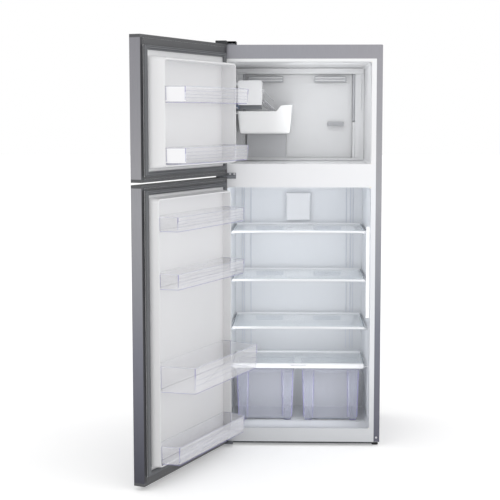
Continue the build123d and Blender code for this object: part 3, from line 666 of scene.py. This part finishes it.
def make_shelf(node, glass_node, bar_tall, hanging, notch=False):
    """White front bar, dark side rails and a rear bar with two recessed vents whose dark insides are painted
    shade.
    """
    low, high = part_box(node)
    glass_low, glass_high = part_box(glass_node)
    front, back = low.y, high.y
    top = glass_high.z + mm(1)
    bm = bmesh.new()
    bar = rectangle(front, front + mm(15), top - bar_tall, top + mm(1.5), mm(3.5))
    prism(bm, bar, "X", low.x, high.x, mm(4) if hanging else mm(6), 0)
    gap = mm(0.4)  # between the glass and the bars round it
    for x0, x1 in ((low.x, glass_low.x - gap), (glass_high.x + gap, high.x)):
        boxes(bm, [((x0, x1), (front + mm(12), back), (top - mm(9), top - mm(1.5)))], mm(1), mm(0.8))
        boxes(bm, [((x0, x1), (front + mm(14), back - mm(2)), (top - mm(1.6), top + mm(1.2)))],
              mm(0.6), mm(0.5), 1)
        inner = x0 + mm(3) if x0 < 0 else x1 - mm(3)
        runner = [(front + mm(12), mm(4)), (front + mm(40), mm(13)), (back - mm(30), mm(13)),
                  (back - mm(6), mm(5))]
        rod(bm, [Vector((inner, y, top - below)) for y, below in runner], mm(2), 0)
    boxes(bm, [((low.x, high.x), (glass_high.y + gap, back), (top - mm(9), top + mm(5)))], mm(2), mm(1.5))
    if hanging:
        boxes(bm, [((low.x + mm(30), high.x - mm(30)), (back - mm(12), back - mm(6.5)),
                    (top - mm(34), top - mm(6)))], mm(2), mm(1))
        for side in (-1, 1):
            x0, x1 = sorted((side * mm(70), side * mm(195)))
            boxes(bm, [((x0, x1), (back - mm(13), back - mm(10)), (top - mm(29), top - mm(11)))],
                  mm(1.5), mm(0.6), 2)
            for k in range(3):
                z = top - mm(25 - 5 * k)
                boxes(bm, [((x0 + mm(3), x1 - mm(3)), (back - mm(14), back - mm(12)), (z, z + mm(2)))],
                      mm(0.6), mm(0.5))
    if notch:
        # the dark arc is painted shade marking a finger notch in the bar
        arc = [Vector((mm(34) * math.cos(a), front + mm(0.5), top - mm(4) - mm(4) * math.sin(a)))
               for a in (math.pi * k / 10 for k in range(11))]
        rod(bm, arc, mm(0.9), 1)
    finish_piece(node + "_bars", bm, [WHITE, GLASS_EDGE, VENT_SHADE], body_of(node), [node])


# ---------------------------------------------------------------- ice maker and freezer details
STEP_FROM, STEP_TO = 0.70, 0.81  # shares of the ice bin's width between which its rim steps up
STEP_DROP = mm(27)


def make_ice_bin():
    """A white bin whose rim is lower under the ice maker."""
    low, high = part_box("ice_bin")
    wide = high.x - low.x
    outline = divided(rectangle(low.x, high.x, low.y, high.y, mm(16)), mm(7))
    step_low, step_high = low.x + wide * STEP_FROM, low.x + wide * STEP_TO

    def top(point):
        t = min(1.0, max(0.0, (point.x - step_low) / (step_high - step_low)))
        return high.z - STEP_DROP * (1 - t * t * (3 - 2 * t))

    bm = bmesh.new()
    tub(bm, outline, low.z, high.z, mm(2.6), mm(10), mm(12), mm(1.3), (0, 0), top=top)
    finish_piece("ice_bin_tub", bm, [BRIGHT_WHITE], body_of("ice_bin"), ["ice_bin"])


def make_gasket(node, door):
    """A soft seal with two grooves along its face."""
    low, high = closed_box(node, door)
    width = mm(18)
    thick = high.y - low.y
    # share of the width across the seal, share of its thickness off the door
    profile = [(0.0, 0.15), (0.04, 0.75), (0.10, 0.92), (0.24, 0.95), (0.30, 0.62), (0.36, 0.95), (0.50, 1.0),
               (0.64, 0.95), (0.70, 0.62), (0.76, 0.92), (0.90, 0.85), (0.97, 0.6), (1.0, 0.15), (0.5, 0.0)]
    rings = []
    for across, up in profile:
        way = inset(rectangle(low.x, high.x, low.z, high.z, mm(6)), across * width)
        rings.append([Vector((p.x, low.y + thick * up, p.y)) for p in way])
    bm = bmesh.new()
    skin(bm, rings, 0, closed=True)
    finish_piece(node + "_seal", bm, [SEAL], body_of(node), [node], OPEN[door], 25)


def make_flange(door):
    """Dark bands along the top and bottom of a door's inner face, outside its seal."""
    low, high = closed_box(door + "_gasket", door)
    face_low, face_high = closed_box(door + "_skin", door)
    cap_low, cap_high = closed_box(door + "_caps", door)
    bm = bmesh.new()
    side, cap_tall, gap = mm(20.5), mm(12.3), mm(0.2)
    across, through = (face_low.x + side, face_high.x - side), (low.y - mm(0.3), low.y + mm(1.2))
    for band in ((high.z + gap, cap_high.z - cap_tall), (cap_low.z + cap_tall, low.z - gap)):
        boxes(bm, [(across, through, band)], mm(1), mm(0.6))
    finish_piece(door + "_flange_bands", bm, [CAP_GREY], door, (), OPEN[door])


TOP_VENTS = ((-0.230, -0.072), (0.070, 0.212))  # X ranges
TOP_VENT_HEIGHTS = (1.566, 1.592)
LOW_VENT = (0.130, 0.203)
LOW_VENT_HEIGHTS = (1.369, 1.388)
RECESS_HEIGHTS = (1.228, 1.334)  # of the recess under the ice bin, drawn as a plate of painted shade
SLOT_HEIGHTS = (1.392, 1.603)  # of the tall slots beside the panel, drawn as strips of painted shadow
FREEZER_FLOOR, FREEZER_CEILING = 1.2135, 1.6285


def make_panel_vents():
    """Louvres in the top vents and the lower vent, whose grey openings are painted shade, and a darker plate
    of painted shade standing for the recess under the ice bin.
    """
    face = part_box("freezer_rear_panel")[0].y
    bm = bmesh.new()
    for x0, x1 in TOP_VENTS:
        boxes(bm, [((x0, x1), (face - mm(1.2), face + mm(1)), TOP_VENT_HEIGHTS)], mm(3), mm(1), 1)
        for z in (1.572, 1.5835):
            boxes(bm, [((x0 + mm(3), x1 - mm(3)), (face - mm(3), face), (z, z + mm(5)))], mm(2), mm(1.2))
    boxes(bm, [(LOW_VENT, (face - mm(1), face + mm(1)), LOW_VENT_HEIGHTS)], mm(3), mm(0.8), 1)
    for k in range(2):
        z = LOW_VENT_HEIGHTS[0] + mm(3.5) + mm(6) * k
        boxes(bm, [((LOW_VENT[0] + mm(3), LOW_VENT[1] - mm(3)), (face - mm(2), face), (z, z + mm(3.4)))],
              mm(1.4), mm(0.8), 1)
    # a darker plate of painted shade standing for the recess under the ice bin
    boxes(bm, [((-0.236, -0.058), (face - mm(1.4), face + mm(1)), RECESS_HEIGHTS)], mm(4), mm(1.3), 2)
    boxes(bm, [((-0.057, -0.053), (face - mm(2.4), face + mm(1)), (RECESS_HEIGHTS[0], 1.340))],
          mm(1.5), mm(1.2))
    finish_piece("freezer_panel_vents", bm, [FREEZER_WHITE, SHADOW_GREY, RECESS_SHADE],
                 body_of("freezer_rear_panel"))


def make_panel_surround():
    """The moulding between the freezer's rear panel and the walls, with a tall slot on each side drawn as a
    grey strip of painted shadow.
    """
    low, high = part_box("freezer_rear_panel")
    face = low.y
    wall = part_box("freezer_liner")[1].x - mm(30.8)
    front = (face + mm(2), face + mm(8))
    bm = bmesh.new()
    for side in (-1, 1):
        x0, x1 = sorted((side * (high.x + mm(13)), side * wall))
        boxes(bm, [((x0, x1), front, (low.z, high.z + mm(0.6)))], mm(1), mm(0.6))
        x0, x1 = sorted((side * (high.x + mm(1)), side * (high.x + mm(12.5))))
        # the tall grey slot strips are painted shadow between panel and wall
        boxes(bm, [((x0, x1), (face + mm(7), face + mm(12)), SLOT_HEIGHTS)], mm(3), mm(1), 1)
        boxes(bm, [((x0, x1), (face + mm(4), face + mm(7)), (low.z, SLOT_HEIGHTS[0] - mm(4)))], mm(1), mm(1))
        x0, x1 = sorted((side * (wall - mm(16)), side * (wall - mm(11))))
        boxes(bm, [((x0, x1), (face - mm(3), face + mm(4)), (1.44, 1.60))], mm(2), mm(1.5))
    boxes(bm, [((-wall, wall), front, (high.z + mm(1), FREEZER_CEILING))], mm(3), mm(2))
    boxes(bm, [((-wall, wall), front, (FREEZER_FLOOR, low.z - mm(0.5)))], mm(1), mm(0.5))
    finish_piece("freezer_panel_surround", bm, [FREEZER_WHITE, SHADOW_GREY], body_of("freezer_rear_panel"))


def make_ice_chute():
    """The ejector block under the ice maker and the slanted chute beside it."""
    low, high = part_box("ice_maker_housing")
    bin_low, bin_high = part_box("ice_bin")
    bm = bmesh.new()
    front = low.y + mm(1)
    boxes(bm, [((low.x + mm(6), low.x + mm(42)), (front, front + mm(60)), (low.z - mm(19), low.z + mm(2)))],
          mm(4), mm(2), 1)
    boxes(bm, [((low.x + mm(8), low.x + mm(36)), (front - mm(1.5), front + mm(4)),
                (low.z - mm(15), low.z - mm(10)))], mm(2), mm(1), 2)
    start = Vector((high.x - mm(2), front + mm(14), low.z + mm(22)))
    end = Vector((bin_low.x + (bin_high.x - bin_low.x) * STEP_FROM - mm(3), front + mm(14),
                  bin_high.z - STEP_DROP + mm(4)))
    for k in range(4):
        shift = Vector((-mm(9) * k, mm(9) * k, 0))
        rod(bm, [start + shift, start.lerp(end, 0.5) + shift, end + shift], mm(2.2), 2 if k % 2 else 0)
    finish_piece("ice_chute", bm, [SHADOW_GREY, SLATE, ZINC], body_of("ice_maker_housing"))


def make_duct_cover():
    """The cold air duct's cover: a bevelled box with a raised panel and slots along its sides, whose grey is
    painted shade.
    """
    low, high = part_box("duct_cover")
    bm = bmesh.new()
    block(bm, low, high, mm(5), mm(3), 0, "Y")
    block(bm, Vector((low.x + mm(5), low.y - mm(1.2), low.z + mm(5))),
          Vector((high.x - mm(5), low.y + mm(2), high.z - mm(5))), mm(4), mm(1), 0, "Y")
    for side, x in ((-1, low.x), (1, high.x)):
        for k in range(7):
            z = low.z + mm(18) + mm(13) * k
            x0, x1 = sorted((x - side * mm(1.5), x + side * mm(0.6)))
            boxes(bm, [((x0, x1), (low.y + mm(4), high.y - mm(3)), (z, z + mm(6)))], mm(0.8), mm(0.4), 1)
    finish_piece("duct_cover_box", bm, [WHITE, SHADOW_GREY], body_of("duct_cover"),
                 ["duct_cover"])


def make_base_strip():
    """A dark strip under the cabinet's front edge: painted shadow where the cabinet stands over the floor."""
    bm = bmesh.new()
    low, high = WRAP_LOW, WRAP_HIGH
    boxes(bm, [((low.x + mm(32), high.x - mm(30)), (FRONT + mm(0.5), FRONT + mm(9)),
                (low.z - mm(8), low.z + mm(0.5)))], mm(1.5), mm(1))
    finish_piece("base_strip", bm, [DARK], body_of("cabinet_wrapper"))


RIB_PLACES = (-0.262, -0.252, -0.221, 0.221, 0.240, 0.252)  # X of each rib
RIB_BOTTOM, RIB_TOP = 0.334, 1.095


def make_back_ribs():
    """Shallow vertical ribs on the back wall of the fridge, coloured darker than the wall as painted shade.
    """
    bm = bmesh.new()
    back = FRONT + mm(493.6)
    for x in RIB_PLACES:
        outline = rectangle(x - mm(2.2), x + mm(2.2), back - mm(2.2), back + mm(1.2), mm(1))
        prism(bm, outline, "Z", RIB_BOTTOM, RIB_TOP, mm(0.9), 0)
    finish_piece("fridge_back_ribs", bm, [RIB_SHADE], body_of("fridge_liner"))


# ---------------------------------------------------------------- camera, lights and floor
CAMERA_BACK = 5.1  # in front of the cabinet face
CAMERA_HEIGHT = 1.408
LENS = 86.95  # millimetres, on a 36 mm sensor
PITCH, YAW = 5.80, 1.60  # degrees down and to the left
SHIFT = (-0.03, -0.02)
GLOW_HEIGHT, GLOW_SIZE = 0.66, (0.03, 0.8)


def make_camera():
    data = bpy.data.cameras.new("camera")
    data.lens = LENS
    data.sensor_width = 36.0
    data.shift_x, data.shift_y = SHIFT
    camera = bpy.data.objects.new("camera", data)
    camera.location = (0.0, FRONT - CAMERA_BACK, CAMERA_HEIGHT)
    camera.rotation_euler = (math.radians(90 - PITCH), 0.0, math.radians(YAW))
    bpy.context.collection.objects.link(camera)
    bpy.context.scene.camera = camera


def area_light(name, place, target, size, power, colour=(1, 1, 1)):
    """A rectangular lamp at a place, turned to a target."""
    data = bpy.data.lights.new(name, "AREA")
    data.shape = "RECTANGLE"
    data.size, data.size_y = size
    data.energy = power
    data.color = colour
    light = bpy.data.objects.new(name, data)
    light.location = place
    light.rotation_mode = "QUATERNION"
    light.rotation_quaternion = (Vector(target) - Vector(place)).to_track_quat("-Z", "Y")
    bpy.context.collection.objects.link(light)


def inner_light(name, place, target, size, power):
    """A small lamp inside the cabinet that isn't seen itself."""
    area_light(name, place, target, size, power, (0.97, 0.985, 1.0))
    lamp = bpy.data.objects[name]
    lamp.visible_camera = False
    lamp.visible_glossy = False


def make_compartment_lights():
    inner_light("freezer_light", (0.10, FRONT + 0.10, 1.628), (0.12, 0.10, 1.38), (0.34, 0.05), 0.26)
    inner_light("freezer_side_light", (-0.02, FRONT + 0.03, 1.42), (0.30, 0.0, 1.42), (0.05, 0.3), 0.17)
    inner_light("fridge_light", (0.0, FRONT + 0.07, 1.100), (0.0, 0.1, 0.86), (0.5, 0.05), 0.44)
    for shelf, power in ((1, 0.19), (2, 0.17), (3, 0.25)):
        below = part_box(f"shelf_{shelf}_trim")[0].z - 0.02
        inner_light(f"bay_light_{shelf}", (0.0, FRONT + 0.12, below), (0.0, 0.12, below - 0.14), (0.5, 0.04),
                    power)
    inner_light("crisper_light", (0.0, FRONT + 0.03, 0.20), (0.0, 0.20, 0.16), (0.5, 0.12), 0.40)
    for name, x, aim, power in (("left_glow", -0.292, 0.30, 0.32), ("right_glow", 0.288, -0.30, 0.09)):
        inner_light(name, (x, FRONT + 0.05, GLOW_HEIGHT), (aim, FRONT + 0.20, GLOW_HEIGHT), GLOW_SIZE, power)


def make_floor():
    """A pale sheet of paper under the object."""
    mesh = bpy.data.meshes.new("floor")
    bm = bmesh.new()
    bmesh.ops.create_circle(bm, cap_ends=True, segments=96, radius=40.0)
    bm.to_mesh(mesh)
    bm.free()
    paper = Nodes("pale_floor")
    tone = paper.ramp(paper.noise(1.5, 2.0), (0.3, (0.93, 0.93, 0.93)), (0.7, (0.95, 0.95, 0.95)))
    paper.link(tone, paper.shader.inputs["Base Color"])
    paper.set(Roughness=0.9, Specular_IOR_Level=0.1, Emission_Color=(1, 1, 1, 1), Emission_Strength=0.2)
    mesh.materials.append(paper.material)
    floor = bpy.data.objects.new("floor", mesh)
    floor.location.z = cad_low.z - 0.0005
    bpy.context.collection.objects.link(floor)


def make_studio():
    world = bpy.data.worlds.new("studio")
    world.use_nodes = True
    background = world.node_tree.nodes["Background"]
    background.inputs["Color"].default_value = (1.0, 1.0, 1.0, 1.0)
    background.inputs["Strength"].default_value = 1.0
    bpy.context.scene.world = world
    bpy.context.scene.view_settings.view_transform = "Standard"
    area_light("key_light", (-3.6, -4.6, 3.2), (0, 0, 1.0), (1.8, 1.8), 9)
    area_light("side_fill", (4.2, -3.4, 2.2), (0, 0, 0.9), (1.8, 2.2), 12)
    make_compartment_lights()
    make_floor()


# ---------------------------------------------------------------- the scene
dress_nodes()
for bin_node in BINS:
    make_bin(bin_node)
for crisper_side in ("left", "right"):
    make_crisper(crisper_side)
for number in (1, 2, 3):
    make_shelf(f"shelf_{number}_trim", f"shelf_{number}_glass", mm(8), True)
make_shelf("crisper_cover_frame", "crisper_cover_glass", mm(19), False, True)
make_ice_bin()
for door_name in ("freezer_door", "fridge_door"):
    make_gasket(door_name + "_gasket", door_name)
    make_flange(door_name)
make_panel_vents()
make_panel_surround()
make_ice_chute()
make_duct_cover()
make_base_strip()
make_back_ribs()
make_camera()
make_studio()
